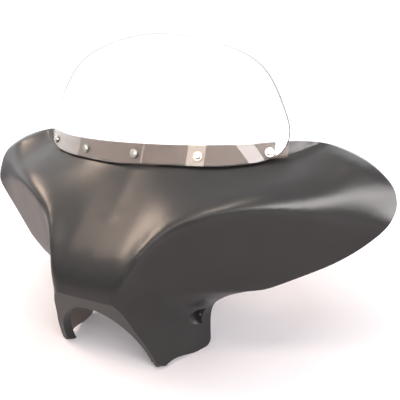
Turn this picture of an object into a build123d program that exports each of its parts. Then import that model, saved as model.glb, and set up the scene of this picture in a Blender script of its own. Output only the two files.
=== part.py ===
from build123d import *
import math
import os

# Motorcycle batwing fairing, in millimetres: X across, front towards -Y, Z up.
# Heights below count from the windshield screw row, depths from its middle screw.

# Shell
WALL = 3.5
TRIM_MARGIN = 6.0
WING_HALF_WIDTH = 417.0
WING_TIP_Z = -57.0
FOOT_Z = -334.0

# Windshield, a flat sheet bent to an arc and raked back, and its seat
SHIELD_RADIUS = 556.0
SHIELD_RAKE = 0.32
SHIELD_LEAN = math.sqrt(1 + SHIELD_RAKE ** 2)
SHIELD_THICKNESS = 4.0
SHIELD_HALF_WIDTH = 249.0
SHIELD_TOP_Z = 200.0
SHIELD_BOTTOM_Z = -17.0
SHIELD_GAP = 2.0
SEAT_BLEND = 5.0

# Top edge, along the windshield's seat to its corner and round the wing, with a rolled rim
SEAT_TOP_Z = 15.5
CORNER_X = 262.0
CORNER_RISE = 10.5
TOP_ROUNDNESS = 1.8
RIM_ROLL = 22.0
RIM_DROP = 12.0
RIM_START_X = 285.0
RIM_FULL_X = 345.0
RIM_FADE_X = 355.0
RIM_END_X = 410.0

# Windshield fasteners
SCREW_X = (-225.0, -117.0, 0.0, 117.0, 225.0)
SCREW_RISE = 9.0
SCREW_R = 2.5
HEAD_R = 5.5
HEAD_H = 2.8
SOCKET_ACROSS = 3.0
SOCKET_DEPTH = 1.8
WASHER_R = 7.5
WASHER_T = 1.2
SHIELD_HOLE_R = 3.5
SLEEVE_R = 4.75
SLEEVE_LENGTH = 14.0
FLANGE_R = 6.5
INSERT_R = 3.4
INSERT_LENGTH = 8.0
SLIP = 0.1

# Hood, a ramp that grows flatter from the middle to the shoulders
RAMP_Z = -50.0
RAMP_Y = -24.0
RAMP_SWEEP = -0.05
RAMP_MIDDLE = 0.95
RAMP_SHOULDER = 1.92
RAMP_WING = 0.90
HOOD_FLAT_X = 45.0
SHOULDER_X = 220.0
RAMP_TURN_X = 240.0
WING_ROOT_X = 370.0
WING_ROOT_BLEND = 24.0

# Nose and fascia
NOSE_Y = -142.0
NOSE_BLEND = 34.0
FASCIA_Y = -141.0
FASCIA_Z = -213.0
FASCIA_LEAN = 0.465

# Wing and cheek faces, and the crest where they meet the hood
WING_Y = -18.7
WING_X = 204.0
WING_SWEEP = 0.549
WING_CURL_X = 330.0
WING_CURL = 0.0014
WING_CURL_DROP = 95.0
CHEEK_TURN_X = 140.0
CHEEK_TURN = 0.0094
CHEEK_TUCK = 0.231
CHEEK_Z = -205.0
CREST_NOSE_BLEND = 22.0
CREST_WING_BLEND = 60.0
CREST_NOSE_X = 70.0
CREST_WING_X = 380.0

# Legs
LEG_X = 69.5
LEG_SPLAY = 0.27
LEG_FLARE = 0.165
LEG_TOP_Z = -190.0
LEG_TURN = 48.0
LEG_REACH = 90.0

# Headlight opening
LAMP_HALF_WIDTH = 90.0
LAMP_HEIGHT = 99.0
LAMP_Z = -330.0
LIP_DEPTH = 18.0

# Bolt pocket in each leg
POCKET_X = 128.5
POCKET_Z = -274.0
POCKET_HALF_WIDTH = 12.0
POCKET_HALF_HEIGHT = 16.0
POCKET_FLOOR_Y = 12.0
BOLT_X = 121.5
BOLT_R = 3.25
BOSS_LENGTH = 14.0

FAR = 700.0


def smooth_step(value, start, end):
    """0 before start and 1 after end, eased between."""
    t = min(1.0, max(0.0, (value - start) / (end - start)))
    return t * t * (3 - 2 * t)


def soft_max(a, b, width):
    """The larger of two depths, rounded where they differ by less than width."""
    near = max(0.0, width - abs(a - b)) / width
    return max(a, b) + near * near * width / 4


def soft_min(a, b, width):
    return -soft_max(-a, -b, width)


def shield_depth(x, z, behind=0.0):
    """Depth of the raked windshield arc, or of an arc parallel to it further back."""
    bend = SHIELD_RADIUS - math.sqrt((SHIELD_RADIUS - behind) ** 2 - x * x)
    return SHIELD_LEAN * bend + SHIELD_RAKE * z


def wing_curl(x, z):
    """How far the lower part of the wing's face curls forward towards the tip."""
    return WING_CURL * max(0.0, x - WING_CURL_X) ** 2 * smooth_step(-z, -RAMP_Z, WING_CURL_DROP)


def wing_depth(x, z):
    """The wing's straight face, turning back along the nose."""
    turn = CHEEK_TURN * max(0.0, CHEEK_TURN_X - x) ** 2
    return WING_Y + WING_SWEEP * (x - WING_X) - turn - wing_curl(x, z) + CHEEK_TUCK * (CHEEK_Z - z)


def top_edge(x):
    """Height of the top edge: rising along the seat, then falling round the wing to its tip."""
    if x <= CORNER_X:
        return SEAT_TOP_Z + CORNER_RISE * (x / CORNER_X) ** 2.5
    along = min(1.0, (x - CORNER_X) / (WING_HALF_WIDTH - CORNER_X))
    height = (1 - along ** TOP_ROUNDNESS) ** (1 / TOP_ROUNDNESS)
    return WING_TIP_Z + (SEAT_TOP_Z + CORNER_RISE - WING_TIP_Z) * height


def rim_depth(x, z):
    """How far the wing's top edge rolls back."""
    share = smooth_step(x, RIM_START_X, RIM_FULL_X) * (1 - smooth_step(x, RIM_FADE_X, RIM_END_X))
    edge = top_edge(x)
    return RIM_ROLL * share * smooth_step(z, edge - RIM_DROP, edge + RIM_DROP)


def hood_depth(x, z):
    ramp = RAMP_MIDDLE + (RAMP_SHOULDER - RAMP_MIDDLE) * smooth_step(x, HOOD_FLAT_X, SHOULDER_X)
    ramp += (RAMP_WING - RAMP_SHOULDER) * smooth_step(x, RAMP_TURN_X, WING_ROOT_X)
    root = soft_max(RAMP_Y + RAMP_SWEEP * x, wing_depth(x, RAMP_Z), WING_ROOT_BLEND)
    return root + ramp * (z - RAMP_Z) + rim_depth(x, z)


def cheek_width(y, z):
    """How far out the cheek stands: the wing's face above, the leg's face below."""
    level = y - CHEEK_TUCK * (CHEEK_Z - z)
    drop = WING_Y + WING_SWEEP * (CHEEK_TURN_X - WING_X) - level
    if drop > 0:
        run = math.sqrt(WING_SWEEP ** 2 + 4 * CHEEK_TURN * drop) - WING_SWEEP
        wing = CHEEK_TURN_X - run / (2 * CHEEK_TURN)
    else:
        wing = CHEEK_TURN_X - drop / WING_SWEEP
    leg = LEG_X + LEG_SPLAY * (y - FASCIA_Y) + LEG_FLARE * (FASCIA_Z - z)
    down = max(0.0, LEG_TOP_Z - z) / LEG_TURN
    return leg + (wing - leg) * math.exp(-down * down)


def cheek_depth(x, z):
    """The depth at which the cheek passes x, found by halving."""
    near, far = -FAR, FAR
    for _ in range(40):
        middle = (near + far) / 2
        if cheek_width(middle, z) < x:
            near = middle
        else:
            far = middle
    return soft_min(near - wing_curl(x, z), wing_depth(x, z) + LEG_REACH, LEG_REACH / 2)


def skin_depth(x, z):
    """Depth of the outer skin at a place in the front view."""
    x = abs(x)
    seat = shield_depth(x, z, SHIELD_THICKNESS + SHIELD_GAP)
    hood = soft_min(seat, hood_depth(x, z), SEAT_BLEND)
    hood = soft_max(hood, NOSE_Y, NOSE_BLEND)
    softness = smooth_step(x, CREST_NOSE_X, CREST_WING_X)
    crest = CREST_NOSE_BLEND + (CREST_WING_BLEND - CREST_NOSE_BLEND) * softness
    return soft_max(hood, cheek_depth(x, z), crest)


def skin_point(x, z, behind):
    """A point of the skin, or of the surface a wall's thickness behind it."""
    step = 0.5
    slope_x = (skin_depth(x + step, z) - skin_depth(x - step, z)) / (2 * step)
    slope_z = (skin_depth(x, z + step) - skin_depth(x, z - step)) / (2 * step)
    scale = behind / math.sqrt(1 + slope_x ** 2 + slope_z ** 2)
    return Vector(x - slope_x * scale, skin_depth(x, z) + scale, z - slope_z * scale)


def stations(*spans):
    """Places along one direction, as evenly divided spans (start, end, parts)."""
    places = [a + (b - a) * i / n for a, b, n in spans for i in range(n)]
    return places + [spans[-1][1]]


def fascia_block(behind):
    """Everything behind the leaning fascia plane, or behind its inside face."""
    inside = behind * math.sqrt(1 + FASCIA_LEAN ** 2)
    high = (FASCIA_Y + FASCIA_LEAN * (FASCIA_Z - FAR) + inside, FAR)
    low = (FASCIA_Y + FASCIA_LEAN * (FASCIA_Z + FAR) + inside, -FAR)
    profile = Polyline(high, low, (2 * FAR, -FAR), (2 * FAR, FAR), close=True)
    return extrude(Plane.YZ * make_face(profile), amount=FAR, both=True)


def block_behind(behind, margin):
    """Everything behind the skin, or behind its inside face, back to a far plane."""
    end = WING_HALF_WIDTH + margin
    half = stations((0, CHEEK_TURN_X, 10), (CHEEK_TURN_X, RIM_START_X, 7), (RIM_START_X, end, 12))
    across = [-x for x in half[:0:-1]] + half
    top = SEAT_TOP_Z + 3 * margin
    up = stations((FOOT_Z - margin, FASCIA_Z, 6), (FASCIA_Z, RAMP_Z, 13), (RAMP_Z, top, 10))
    spacing = [i / (len(up) - 1) for i in range(len(up))]
    ribs = [
        Wire([Edge.make_spline([skin_point(x, z, behind) for z in up], parameters=spacing)])
        for x in across
    ]
    skin = Shell.make_loft(ribs).faces()[0]
    return extrude(skin, amount=FAR / 2, dir=(0, 1, 0)) & fascia_block(behind)


def front_prism(outline, depth=FAR):
    """A closed front-view outline pushed straight through, front to back."""
    return extrude(Plane.XZ * make_face(outline), amount=depth, both=True)


def mirrored(points):
    """A half outline from the middle outwards, joined to its mirror image."""
    return [(-x, z) for x, z in points[:0:-1]] + list(points)


def top_waste():
    """What lies above the shell's top edge, from the seat out over both wings to the tips."""
    seat = stations((0, CORNER_X, 4))
    turns = stations((0, math.pi / 2, 8))
    wing = [CORNER_X + (WING_HALF_WIDTH - CORNER_X) * math.sin(turn) for turn in turns[1:]]
    points = mirrored([(x, top_edge(x)) for x in seat + wing])
    corners = [(FAR, WING_TIP_Z), (FAR, FAR), (-FAR, FAR), (-FAR, WING_TIP_Z)]
    return front_prism(Spline(points) + Polyline([points[-1]] + corners + [points[0]]))


def side_trim(side):
    """What lies inside the wing's lower edge and the leg's outline, seen from 45 degrees."""
    face_on = Plane((0, 0, 0), x_dir=(side, 1, 0), z_dir=(1, -side, 0))
    tip = ((WING_HALF_WIDTH + skin_depth(WING_HALF_WIDTH, WING_TIP_Z)) / math.sqrt(2), WING_TIP_Z)
    armpit = (150, CHEEK_Z)
    edge = [tip, (339, -79), (310, -120), (263, -158), (196, -191), armpit]
    lower = Spline(edge, tangents=[(-0.15, -1), (-1, -0.08)])
    pit = ThreePointArc(armpit, (127, -218), (117, -250))
    heel = Line((117, -250), (116, FOOT_Z + 12))
    corner = ThreePointArc((116, FOOT_Z + 12), (112, FOOT_Z + 3.5), (104, FOOT_Z))
    sole = Line((104, FOOT_Z), (94, FOOT_Z))
    arch = Spline((94, FOOT_Z), (62, FOOT_Z + 4.5), (30, FOOT_Z + 6.5), (17, FOOT_Z))
    toe = ThreePointArc((17, FOOT_Z), (7, FOOT_Z + 4), (1, FOOT_Z + 14))
    gap = Polyline((1, FOOT_Z + 14), (-40, FOOT_Z + 14), (-40, FOOT_Z), (-FAR, FOOT_Z))
    rest = Polyline((-FAR, FOOT_Z), (-FAR, FAR), (tip[0], FAR), tip)
    outline = lower + pit + heel + corner + sole + arch + toe + gap + rest
    return extrude(face_on * make_face(outline), amount=FAR, both=True)


def toe_waste(side):
    """What lies outside the rounded corner at the front of the leg's foot, seen from the other diagonal."""
    face_on = Plane((0, 0, 0), x_dir=(side, -1, 0), z_dir=(-1, -side, 0))
    corner = ThreePointArc((116, FOOT_Z), (130, FOOT_Z + 5), (135, FOOT_Z + 18))
    outside = [(135, FOOT_Z + 18), (200, FOOT_Z + 18), (200, FOOT_Z - 20), (116, FOOT_Z - 20), (116, FOOT_Z)]
    rest = Polyline(outside)
    return extrude(face_on * make_face(corner + rest), amount=FAR, both=True)


def lamp_outline(grow):
    return Pos(0, LAMP_Z) * Ellipse(LAMP_HALF_WIDTH + grow, LAMP_HEIGHT + grow)


def along_y(x, z, radius, start, end):
    """A round bar running front to back."""
    bar = Cylinder(radius, end - start, align=(Align.CENTER, Align.CENTER, Align.MIN))
    return Pos(x, start, z) * Rot(-90, 0, 0) * bar


def pocket(side, grow):
    """The oval pocket round a leg's bolt, or the cup that it is moulded in."""
    oval = Pos(side * POCKET_X, POCKET_Z) * Ellipse(POCKET_HALF_WIDTH + grow, POCKET_HALF_HEIGHT + grow)
    floor = Plane((0, POCKET_FLOOR_Y + grow, 0), x_dir=(1, 0, 0), z_dir=(0, -1, 0))
    return extrude(floor * oval, amount=FAR / 4)


def screw_planes():
    """Where each windshield screw stands, facing out along the sheet's normal."""
    planes = []
    for x in SCREW_X:
        z = SCREW_RISE * (x / SCREW_X[-1]) ** 4
        run = math.sqrt(SHIELD_RADIUS ** 2 - x * x)
        out = Vector(SHIELD_LEAN * x / run, -1, SHIELD_RAKE)
        planes.append(Plane((x, shield_depth(x, z), z), x_dir=out.cross(Vector(1, 0.3, 0.7)), z_dir=out))
    return planes


def bar(plane, radius, start, end):
    """A round bar along a plane's normal, between two heights over it."""
    return plane.offset(start) * Cylinder(radius, end - start, align=(Align.CENTER, Align.CENTER, Align.MIN))


def fairing_shell():
    outer = block_behind(0, TRIM_MARGIN)
    shell = outer - block_behind(WALL, 2 * TRIM_MARGIN + 0.5 * WALL)
    lip = extrude(Plane.XZ * (lamp_outline(WALL) - lamp_outline(0)), amount=FAR, both=True)
    back = Pos(0, LIP_DEPTH, 0) * fascia_block(0.0)
    shell += (lip & fascia_block(0.0)) - back
    shell -= extrude(Plane.XZ * lamp_outline(0), amount=FAR, both=True)
    for side in (-1, 1):
        boss = along_y(side * BOLT_X, POCKET_Z, BOLT_R + WALL, POCKET_FLOOR_Y, POCKET_FLOOR_Y + BOSS_LENGTH)
        shell += (pocket(side, WALL) + boss) & outer
        shell -= pocket(side, 0)
        shell -= along_y(side * BOLT_X, POCKET_Z, BOLT_R, 0, POCKET_FLOOR_Y + BOSS_LENGTH)
    shell = (shell - top_waste()) & side_trim(1) & side_trim(-1)
    shell = shell - toe_waste(1) - toe_waste(-1)
    for plane in screw_planes():
        shell -= bar(plane, SLEEVE_R + SLIP / 2, -4 * WALL - SHIELD_THICKNESS, 0)
    return shell


def windshield():
    middle = (0, SHIELD_RADIUS / SHIELD_LEAN, -SHIELD_RADIUS * SHIELD_RAKE / SHIELD_LEAN)
    across = Plane(middle, x_dir=(1, 0, 0), z_dir=(0, SHIELD_RAKE, 1))
    arc = Circle(SHIELD_RADIUS) - Circle(SHIELD_RADIUS - SHIELD_THICKNESS)
    arc = arc & Pos(0, -SHIELD_RADIUS) * Rectangle(2.2 * SHIELD_HALF_WIDTH, SHIELD_RADIUS)
    sheet = extrude(across * arc, amount=2 * SHIELD_HALF_WIDTH, both=True)
    shares = [(0, 0), (0.474, 0.007), (0.739, 0.028), (0.892, 0.065), (0.98, 0.138), (1, 0.217)]
    shares += [(0.948, 0.438), (0.791, 0.733), (0.442, 0.926), (0, 1)]
    height = SHIELD_TOP_Z - SHIELD_BOTTOM_Z
    half = [(SHIELD_HALF_WIDTH * x, SHIELD_BOTTOM_Z + height * z) for x, z in shares]
    around = half + [(-x, z) for x, z in half[-2:0:-1]]
    sheet = sheet & front_prism(Spline(around, periodic=True))
    for plane in screw_planes():
        sheet -= bar(plane, SHIELD_HOLE_R, -2 * SHIELD_THICKNESS, SHIELD_THICKNESS)
    return sheet


def screws():
    solids = []
    for plane in screw_planes():
        head = Pos(0, 0, WASHER_T) * Cylinder(HEAD_R, HEAD_H, align=(Align.CENTER, Align.CENTER, Align.MIN))
        head = chamfer(head.edges().group_by(Axis.Z)[-1], HEAD_H * 0.55)
        socket = RegularPolygon(SOCKET_ACROSS / 2, 6, major_radius=False)
        head -= extrude(Pos(0, 0, WASHER_T + HEAD_H) * socket, amount=-SOCKET_DEPTH)
        tip = -SHIELD_THICKNESS - SHIELD_GAP - SLEEVE_LENGTH + 1
        shank = Pos(0, 0, tip) * Cylinder(SCREW_R, WASHER_T - tip, align=(Align.CENTER, Align.CENTER, Align.MIN))
        solids.append(plane * (head + shank))
    return Compound(solids)


def washers():
    return Compound([
        bar(plane, WASHER_R, 0, WASHER_T) - bar(plane, SCREW_R + 2 * SLIP, 0, WASHER_T)
        for plane in screw_planes()
    ])


def well_nuts():
    front = -SHIELD_THICKNESS - SLIP
    seat = -SHIELD_THICKNESS - SHIELD_GAP + 3 * SLIP
    tail = -SHIELD_THICKNESS - SHIELD_GAP - SLEEVE_LENGTH
    solids = []
    for plane in screw_planes():
        nut = bar(plane, FLANGE_R, seat, front) + bar(plane, SLEEVE_R, tail, seat)
        nut -= bar(plane, SCREW_R + SLIP, tail, front)
        nut -= bar(plane, INSERT_R, tail, tail + INSERT_LENGTH)
        solids.append(nut)
    return Compound(solids)


def inserts():
    tail = -SHIELD_THICKNESS - SHIELD_GAP - SLEEVE_LENGTH
    return Compound([
        bar(plane, INSERT_R, tail, tail + INSERT_LENGTH) - bar(plane, SCREW_R, tail, tail + INSERT_LENGTH)
        for plane in screw_planes()
    ])


parts = {
    "fairing_shell": fairing_shell(),
    "windshield": windshield(),
    "windshield_screws": screws(),
    "windshield_washers": washers(),
    "well_nuts": well_nuts(),
    "well_nut_inserts": inserts(),
}

# The fairing stands on its legs: bottom centre of its box at the origin.
box = Compound(list(parts.values())).bounding_box()
stand = Pos(0, -(box.min.Y + box.max.Y) / 2, -box.min.Z)
os.makedirs("parts", exist_ok=True)
for name, part in parts.items():
    placed = stand * part
    export_step(placed, f"parts/{name}.step")
    print(name, len(placed.solids()), round(placed.volume), placed.bounding_box())
print(stand)
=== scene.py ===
import math

import bpy
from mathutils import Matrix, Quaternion, Vector


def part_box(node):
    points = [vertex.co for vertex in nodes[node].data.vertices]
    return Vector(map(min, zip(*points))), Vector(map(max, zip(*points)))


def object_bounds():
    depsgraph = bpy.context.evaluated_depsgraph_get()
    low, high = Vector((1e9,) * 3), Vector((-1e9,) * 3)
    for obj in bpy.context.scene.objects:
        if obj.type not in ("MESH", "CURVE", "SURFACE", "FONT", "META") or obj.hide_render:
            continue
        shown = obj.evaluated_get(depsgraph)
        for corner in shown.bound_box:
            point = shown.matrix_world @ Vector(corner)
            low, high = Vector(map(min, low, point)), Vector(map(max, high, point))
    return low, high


# Camera, found from the photograph: place in metres, angles in degrees, focal length in pixels of the frame
CAMERA_PLACE = (0.5021, -0.6768, 0.4416)
CAMERA_DOWN = 12.576
CAMERA_TURN = 28.349
FOCAL_PIXELS = 500
FRAME_PIXELS = 400
SENSOR_MM = 36

# Finishes: linear colours, and roughness as one value or as its two ends
SHELL_BLACK = (0.0100, 0.0090, 0.0092)
SHELL_WORN = (0.0140, 0.0128, 0.0128)
# Pale brown: a painted reflection on the seat strip behind the windshield, and the colour given to the
# shell's faces that lean back
SHELL_SEAT_SHEEN_AND_INSIDE = (0.095, 0.066, 0.055)
SHELL_ROUGHNESS = (0.30, 0.34)
STEEL = (0.58, 0.56, 0.52)
STEEL_ROUGHNESS = (0.16, 0.28)
BRASS = (0.56, 0.38, 0.13)
BRASS_ROUGHNESS = (0.25, 0.4)
# Black of the rubber, also used as painted shade on the windshield's lower edge
RUBBER_BLACK_AND_EDGE_SHADE = (0.016, 0.016, 0.016)
RUBBER_PALE = (0.0352, 0.0352, 0.0352)
RUBBER_ROUGHNESS = 0.8
ACRYLIC = (0.97, 0.985, 0.98)
ACRYLIC_IOR = 1.49
SAWN_EDGE = (0.10, 0.102, 0.102)
SAWN_ROUGHNESS = 0.45

# Soft marks in the finishes: noise features per metre
CLOUD_SCALE = 14.0
BLOOM_SCALE = 300.0
MARKS_SCALE = 900.0

# Fine grain in the finishes: noise features per metre, and depth in metres
SHELL_GRAIN = (1400.0, 0.00002)
METAL_GRAIN = (2600.0, 0.000006)
RUBBER_GRAIN = (1800.0, 0.00003)

# Detail of the noise
SOFT_DETAIL = 2.0
GRAIN_DETAIL = 3.0
MARKS_DETAIL = 4.0

# How far a face's normal leans back where the shell begins to turn from black to pale brown, and has turned
INSIDE_START = 0.1
INSIDE_FULL = 0.2

# Windshield sheet in metres: a cylinder of this radius, raked back by this slope
SHEET_RADIUS = 0.556
SHEET_RAKE = 0.32

# Edge of the sheet: its band and the rise up to which it is painted black as shade in metres, and rays that
# look for it
EDGE_BAND = 0.0012
EDGE_RISE = 0.05
EDGE_SAMPLES = 6

# How squarely a place faces along the sheet's radius, and along its own rounded normal, where it is clear
FACE_SQUARE = 0.7
BAND_SQUARE = 0.98

# Seat of the sheet on the shell in metres: depth under the sheet's front face, give or take
SEAT_DEPTH = 0.0057
SEAT_TOLERANCE = 0.0005

# White table with a painted glow, seen only by the eye, that rises with distance from the middle of its
# shade: sizes and distances in metres
TABLE_SIZE = 30
TABLE_WHITE = (0.84, 0.825, 0.87)
TABLE_ROUGHNESS = 0.9
SHADE_CENTRE = (0.0, 0.2, 0.0)
GLOW_START = 0.25
GLOW_FULL = 0.8
GLOW_STRENGTH = 0.8

# Soft panels, each with the values that the panel function takes, at one distance in metres from the part
PANEL_DISTANCE = 2.4
WARM = (1.0, 0.76, 0.60)
CREAM = (1.0, 0.84, 0.71)
NEUTRAL = (1.0, 0.95, 0.95)
PANELS = [
    ("left_softbox", -79, 38.5, 0, 1.0, 0.5, 15.5, WARM),
    ("left_panel", -89, 9, 0, 1.15, 0.5, 1.0, NEUTRAL),
    ("thin_strip", -34, 24, 0, 0.03, 0.6, 3.0, CREAM),
    ("front_softbox", -3, 36, 0, 0.38, 0.9, 5.5, CREAM),
    ("top_softbox", 2, 60, 0, 0.6, 0.8, 12.0, CREAM),
    ("front_strip", 27, 27, 62, 0.13, 1.2, 6.0, NEUTRAL),
    ("right_softbox", 54, 21, 0, 1.2, 0.7, 15.5, NEUTRAL),
]

# Strength of the surroundings: as light, in gloss at the horizon, overhead and added behind, to the eye
ROOM_LIGHT = 0.42
HORIZON_GLOSS = 0.5
ZENITH_GLOSS = 1.5
BACK_GLOSS = 2.0
BACKDROP = 1.14

# How far a direction points back where the gloss behind begins, and is full
BACK_START = 0.3
BACK_FULL = 0.6

# Places of a Mix node's sockets for each kind of value: first input, second input, result
MIX_SOCKETS = {"FLOAT": (2, 3, 0), "VECTOR": (4, 5, 1), "RGBA": (6, 7, 2)}

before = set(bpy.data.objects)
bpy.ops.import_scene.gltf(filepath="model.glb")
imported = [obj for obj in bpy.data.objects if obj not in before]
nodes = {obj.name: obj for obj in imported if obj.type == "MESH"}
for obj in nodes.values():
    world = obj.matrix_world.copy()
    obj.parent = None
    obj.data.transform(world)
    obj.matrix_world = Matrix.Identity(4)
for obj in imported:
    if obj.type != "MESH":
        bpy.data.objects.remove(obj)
cad_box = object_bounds()
part_middle = (Vector(cad_box[0]) + Vector(cad_box[1])) / 2
sheet_low, sheet_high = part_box("windshield")


def node_adder(tree):
    """A short way to add a node with some of its values set."""

    def add(kind, **values):
        node = tree.nodes.new(kind)
        for key, value in values.items():
            if key in node.inputs:
                node.inputs[key].default_value = value
            else:
                setattr(node, key, value)
        return node

    return add


def new_material(name):
    """A material with its shader, and short ways to add and join nodes."""
    material = bpy.data.materials.new(name)
    material.use_nodes = True
    tree = material.node_tree
    return material, tree.nodes["Principled BSDF"], node_adder(tree), tree.links.new


def fill(link, socket, value):
    """Join an input to another node's output, or give it a fixed number, vector or colour."""
    if isinstance(value, bpy.types.NodeSocket):
        link(value, socket)
    elif socket.type == "RGBA":
        socket.default_value = (*value, 1)
    else:
        socket.default_value = value


def number_math(add, link, operation, *values):
    """The result of a calculation on numbers, each a socket or fixed."""
    node = add("ShaderNodeMath", operation=operation)
    for socket, value in zip(node.inputs, values):
        fill(link, socket, value)
    return node.outputs[0]


def vector_math(add, link, operation, *values):
    """The result of a calculation on vectors, each a socket or fixed."""
    node = add("ShaderNodeVectorMath", operation=operation)
    for socket, value in zip(node.inputs, values):
        fill(link, socket, value)
    return node.outputs["Value" if operation in ("DOT_PRODUCT", "LENGTH") else "Vector"]


def mix(add, link, kind, factor, first, second):
    """A value that runs from the first to the second as factor goes from 0 to 1."""
    node = add("ShaderNodeMix", data_type=kind)
    first_place, second_place, result_place = MIX_SOCKETS[kind]
    link(factor, node.inputs["Factor"])
    fill(link, node.inputs[first_place], first)
    fill(link, node.inputs[second_place], second)
    return node.outputs[result_place]


def between(add, link, factor, low, high, start=0.3, end=0.7):
    """A number or colour that runs from low to high as factor goes from start to end."""
    spread = add("ShaderNodeMapRange")
    spread.inputs["From Min"].default_value = start
    spread.inputs["From Max"].default_value = end
    link(factor, spread.inputs["Value"])
    if isinstance(low, tuple):
        return mix(add, link, "RGBA", spread.outputs["Result"], low, high)
    spread.inputs["To Min"].default_value = low
    spread.inputs["To Max"].default_value = high
    return spread.outputs["Result"]


def axes(add, link, vector):
    """The X, Y and Z of a vector."""
    node = add("ShaderNodeSeparateXYZ")
    link(vector, node.inputs[0])
    return node.outputs


def place(add):
    """Where a point lies on its object, which for a piece of the part is its place in the frame."""
    return add("ShaderNodeTexCoord").outputs["Object"]


def place_noise(add, link, scale, detail=SOFT_DETAIL):
    """Noise fixed to the part, with features about 1 / scale metres across."""
    noise = add("ShaderNodeTexNoise", Scale=scale, Detail=detail)
    link(place(add), noise.inputs["Vector"])
    return noise.outputs["Fac"]


def grain(add, link, shader, scale, depth):
    """A fine grain in the surface."""
    bump = add("ShaderNodeBump", Strength=1.0, Distance=depth)
    link(place_noise(add, link, scale, GRAIN_DETAIL), bump.inputs["Height"])
    link(bump.outputs["Normal"], shader.inputs["Normal"])


def seen_directly(add, link):
    """1 for what the eye sees, also through clear plastic, and 0 for what only sends light."""
    path = add("ShaderNodeLightPath").outputs
    return number_math(add, link, "MAXIMUM", path["Is Camera Ray"], path["Is Transmission Ray"])


def sheet_arm(add, link):
    """From the axis that the windshield is bent round, square to it, out to a place on the part."""
    lean = math.hypot(1, SHEET_RAKE)
    middle = (0, sheet_low[1] + SHEET_RADIUS / lean, sheet_low[2] - SHEET_RADIUS * SHEET_RAKE / lean)
    axis = (0, SHEET_RAKE / lean, 1 / lean)
    arm = vector_math(add, link, "SUBTRACT", place(add), middle)
    along = vector_math(add, link, "PROJECT", arm, axis)
    return vector_math(add, link, "SUBTRACT", arm, along)


def sheet_normal(add, link):
    """The windshield's exact curve as a normal, and 1 on its clear faces or 0 on the band at its edge."""
    true_normal = add("ShaderNodeNewGeometry").outputs["True Normal"]
    radial = vector_math(add, link, "NORMALIZE", sheet_arm(add, link))
    facing = vector_math(add, link, "DOT_PRODUCT", radial, true_normal)
    turned = add("ShaderNodeVectorMath", operation="SCALE")
    link(radial, turned.inputs[0])
    link(number_math(add, link, "SIGN", facing), turned.inputs["Scale"])
    square = number_math(add, link, "ABSOLUTE", facing)
    face = number_math(add, link, "GREATER_THAN", square, FACE_SQUARE)
    rounded = add("ShaderNodeBevel", samples=EDGE_SAMPLES, Radius=EDGE_BAND).outputs["Normal"]
    straight = vector_math(add, link, "DOT_PRODUCT", rounded, true_normal)
    off_band = number_math(add, link, "GREATER_THAN", straight, BAND_SQUARE)
    normal = mix(add, link, "VECTOR", face, true_normal, turned.outputs["Vector"])
    return normal, number_math(add, link, "MULTIPLY", face, off_band)


def under_sheet(add, link):
    """1 on the shell's seat strip behind the windshield, 0 elsewhere."""
    where = axes(add, link, place(add))
    radius = vector_math(add, link, "LENGTH", sheet_arm(add, link))
    rise = sheet_high[2] - sheet_low[2]
    deep = number_math(add, link, "COMPARE", radius, SHEET_RADIUS - SEAT_DEPTH, SEAT_TOLERANCE)
    across = number_math(add, link, "COMPARE", where["X"], 0.0, sheet_high[0])
    high = number_math(add, link, "COMPARE", where["Z"], sheet_high[2], rise)
    return number_math(add, link, "MULTIPLY", number_math(add, link, "MULTIPLY", deep, across), high)


def shell_material():
    """Satin black paint with faint cloudy wear and a very fine grain; the seat carries a painted reflection
    in pale brown, and faces leaning back take the same pale brown.
    """
    material, shader, add, link = new_material("satin_black")
    cloud = place_noise(add, link, CLOUD_SCALE)
    paint = between(add, link, cloud, SHELL_BLACK, SHELL_WORN)
    facing = axes(add, link, add("ShaderNodeNewGeometry").outputs["True Normal"])
    inside = between(add, link, facing["Y"], 0.0, 1.0, INSIDE_START, INSIDE_FULL)
    # The seat strip carries a painted reflection in pale brown; faces that lean back take the same pale
    # brown
    seat_sheen_and_inside = number_math(add, link, "MAXIMUM", under_sheet(add, link), inside)
    link(mix(add, link, "RGBA", seat_sheen_and_inside, paint, SHELL_SEAT_SHEEN_AND_INSIDE), shader.inputs["Base Color"])
    link(between(add, link, cloud, *SHELL_ROUGHNESS), shader.inputs["Roughness"])
    grain(add, link, shader, *SHELL_GRAIN)
    return material


def acrylic_material():
    """Clear cast acrylic with a sawn edge, painted black as shade along the bottom, which lets lamp light
    through to what is under it.
    """
    material, shader, add, link = new_material("clear_acrylic")
    shader.inputs["IOR"].default_value = ACRYLIC_IOR
    normal, face = sheet_normal(add, link)
    link(normal, shader.inputs["Normal"])
    link(between(add, link, face, SAWN_ROUGHNESS, 0.0, 0.0, 1.0), shader.inputs["Roughness"])
    link(face, shader.inputs["Transmission Weight"])
    height = axes(add, link, place(add))["Z"]
    above = number_math(add, link, "GREATER_THAN", height, sheet_low[2] + EDGE_RISE)
    # Painted shade: the sheet's edge is drawn black up to EDGE_RISE and sawn grey above it
    edge = between(add, link, above, RUBBER_BLACK_AND_EDGE_SHADE, SAWN_EDGE, 0.0, 1.0)
    link(mix(add, link, "RGBA", face, edge, ACRYLIC), shader.inputs["Base Color"])
    clear = add("ShaderNodeBsdfTransparent")
    clear.inputs["Color"].default_value = (*ACRYLIC, 1)
    shadow = add("ShaderNodeLightPath").outputs["Is Shadow Ray"]
    casts_none = number_math(add, link, "MAXIMUM", face, above)
    choose = add("ShaderNodeMixShader")
    link(number_math(add, link, "MULTIPLY", shadow, casts_none), choose.inputs["Fac"])
    link(shader.outputs["BSDF"], choose.inputs[1])
    link(clear.outputs["BSDF"], choose.inputs[2])
    link(choose.outputs["Shader"], material.node_tree.nodes["Material Output"].inputs["Surface"])
    return material


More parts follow.
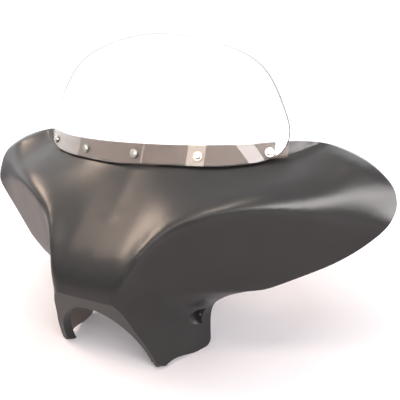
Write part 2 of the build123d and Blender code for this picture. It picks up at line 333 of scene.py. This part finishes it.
def metal_material(name, colour, roughness):
    """A bare metal with fine marks that break up its gloss."""
    material, shader, add, link = new_material(name)
    shader.inputs["Base Color"].default_value = (*colour, 1)
    shader.inputs["Metallic"].default_value = 1.0
    marks = place_noise(add, link, MARKS_SCALE, MARKS_DETAIL)
    link(between(add, link, marks, *roughness), shader.inputs["Roughness"])
    grain(add, link, shader, *METAL_GRAIN)
    return material


def rubber_material():
    """Matt black rubber with a faint pale bloom."""
    material, shader, add, link = new_material("black_rubber")
    bloom = place_noise(add, link, BLOOM_SCALE)
    link(between(add, link, bloom, RUBBER_BLACK_AND_EDGE_SHADE, RUBBER_PALE), shader.inputs["Base Color"])
    shader.inputs["Roughness"].default_value = RUBBER_ROUGHNESS
    grain(add, link, shader, *RUBBER_GRAIN)
    return material


def dress(node, material):
    """Give a piece of the part its finish."""
    slots = nodes[node].data.materials
    slots.clear()
    slots.append(material)


def floor():
    """A wide white table that keeps the shadow, with a painted glow seen only by the eye that whitens it
    further off.
    """
    bpy.ops.mesh.primitive_plane_add(size=TABLE_SIZE)
    table = bpy.context.object
    table.name = "table"
    material, shader, add, link = new_material("white_table")
    shader.inputs["Base Color"].default_value = (*TABLE_WHITE, 1)
    shader.inputs["Roughness"].default_value = TABLE_ROUGHNESS
    shader.inputs["Emission Color"].default_value = (1, 1, 1, 1)
    arm = vector_math(add, link, "SUBTRACT", place(add), SHADE_CENTRE)
    away = vector_math(add, link, "LENGTH", arm)
    glow = between(add, link, away, 0.0, GLOW_STRENGTH, GLOW_START, GLOW_FULL)
    seen_glow = number_math(add, link, "MULTIPLY", seen_directly(add, link), glow)
    link(seen_glow, shader.inputs["Emission Strength"])
    table.data.materials.append(material)


def panel(name, right, up, roll, width, height, radiance, colour):
    """A soft panel facing the part: degrees right of its front, up and rolled, and a size in metres."""
    lamp = bpy.data.lights.new(name, "AREA")
    lamp.shape = "RECTANGLE"
    lamp.size = width
    lamp.size_y = height
    lamp.energy = radiance * math.pi * width * height
    lamp.color = colour
    right = math.radians(right)
    up = math.radians(up)
    towards = Vector((math.sin(right) * math.cos(up), -math.cos(right) * math.cos(up), math.sin(up)))
    box = bpy.data.objects.new(name, lamp)
    box.location = part_middle + PANEL_DISTANCE * towards
    turn = towards.to_track_quat("Z", "Y") @ Quaternion((0, 0, 1), math.radians(roll))
    box.rotation_euler = turn.to_euler()
    bpy.context.scene.collection.objects.link(box)


def surroundings():
    """White to the eye and through clear plastic, brighter overhead and behind in gloss, dim as light."""
    world = bpy.data.worlds.new("studio")
    world.use_nodes = True
    tree = world.node_tree
    add = node_adder(tree)
    link = tree.links.new
    towards = axes(add, link, add("ShaderNodeTexCoord").outputs["Generated"])
    overhead = between(add, link, towards["Z"], HORIZON_GLOSS, ZENITH_GLOSS, 0.0, 1.0)
    behind = between(add, link, towards["Y"], 0.0, BACK_GLOSS, BACK_START, BACK_FULL)
    gloss = number_math(add, link, "ADD", overhead, behind)
    glossy = add("ShaderNodeLightPath").outputs["Is Glossy Ray"]
    lit = mix(add, link, "FLOAT", glossy, ROOM_LIGHT, gloss)
    shown = mix(add, link, "FLOAT", seen_directly(add, link), lit, BACKDROP)
    background = tree.nodes["Background"]
    background.inputs["Color"].default_value = (1, 1, 1, 1)
    link(shown, background.inputs["Strength"])
    bpy.context.scene.world = world


def camera():
    """A camera where the photograph was taken from."""
    data = bpy.data.cameras.new("camera")
    data.sensor_width = SENSOR_MM
    data.lens = SENSOR_MM * FOCAL_PIXELS / FRAME_PIXELS
    eye = bpy.data.objects.new("camera", data)
    eye.location = CAMERA_PLACE
    eye.rotation_euler = (math.radians(90 - CAMERA_DOWN), 0, math.radians(CAMERA_TURN))
    bpy.context.scene.collection.objects.link(eye)
    bpy.context.scene.camera = eye


steel = metal_material("stainless", STEEL, STEEL_ROUGHNESS)
dress("fairing_shell", shell_material())
dress("windshield", acrylic_material())
dress("windshield_screws", steel)
dress("windshield_washers", steel)
dress("well_nuts", rubber_material())
dress("well_nut_inserts", metal_material("brass", BRASS, BRASS_ROUGHNESS))
floor()
surroundings()
for values in PANELS:
    panel(*values)
camera()
bpy.context.scene.view_settings.view_transform = "Standard"
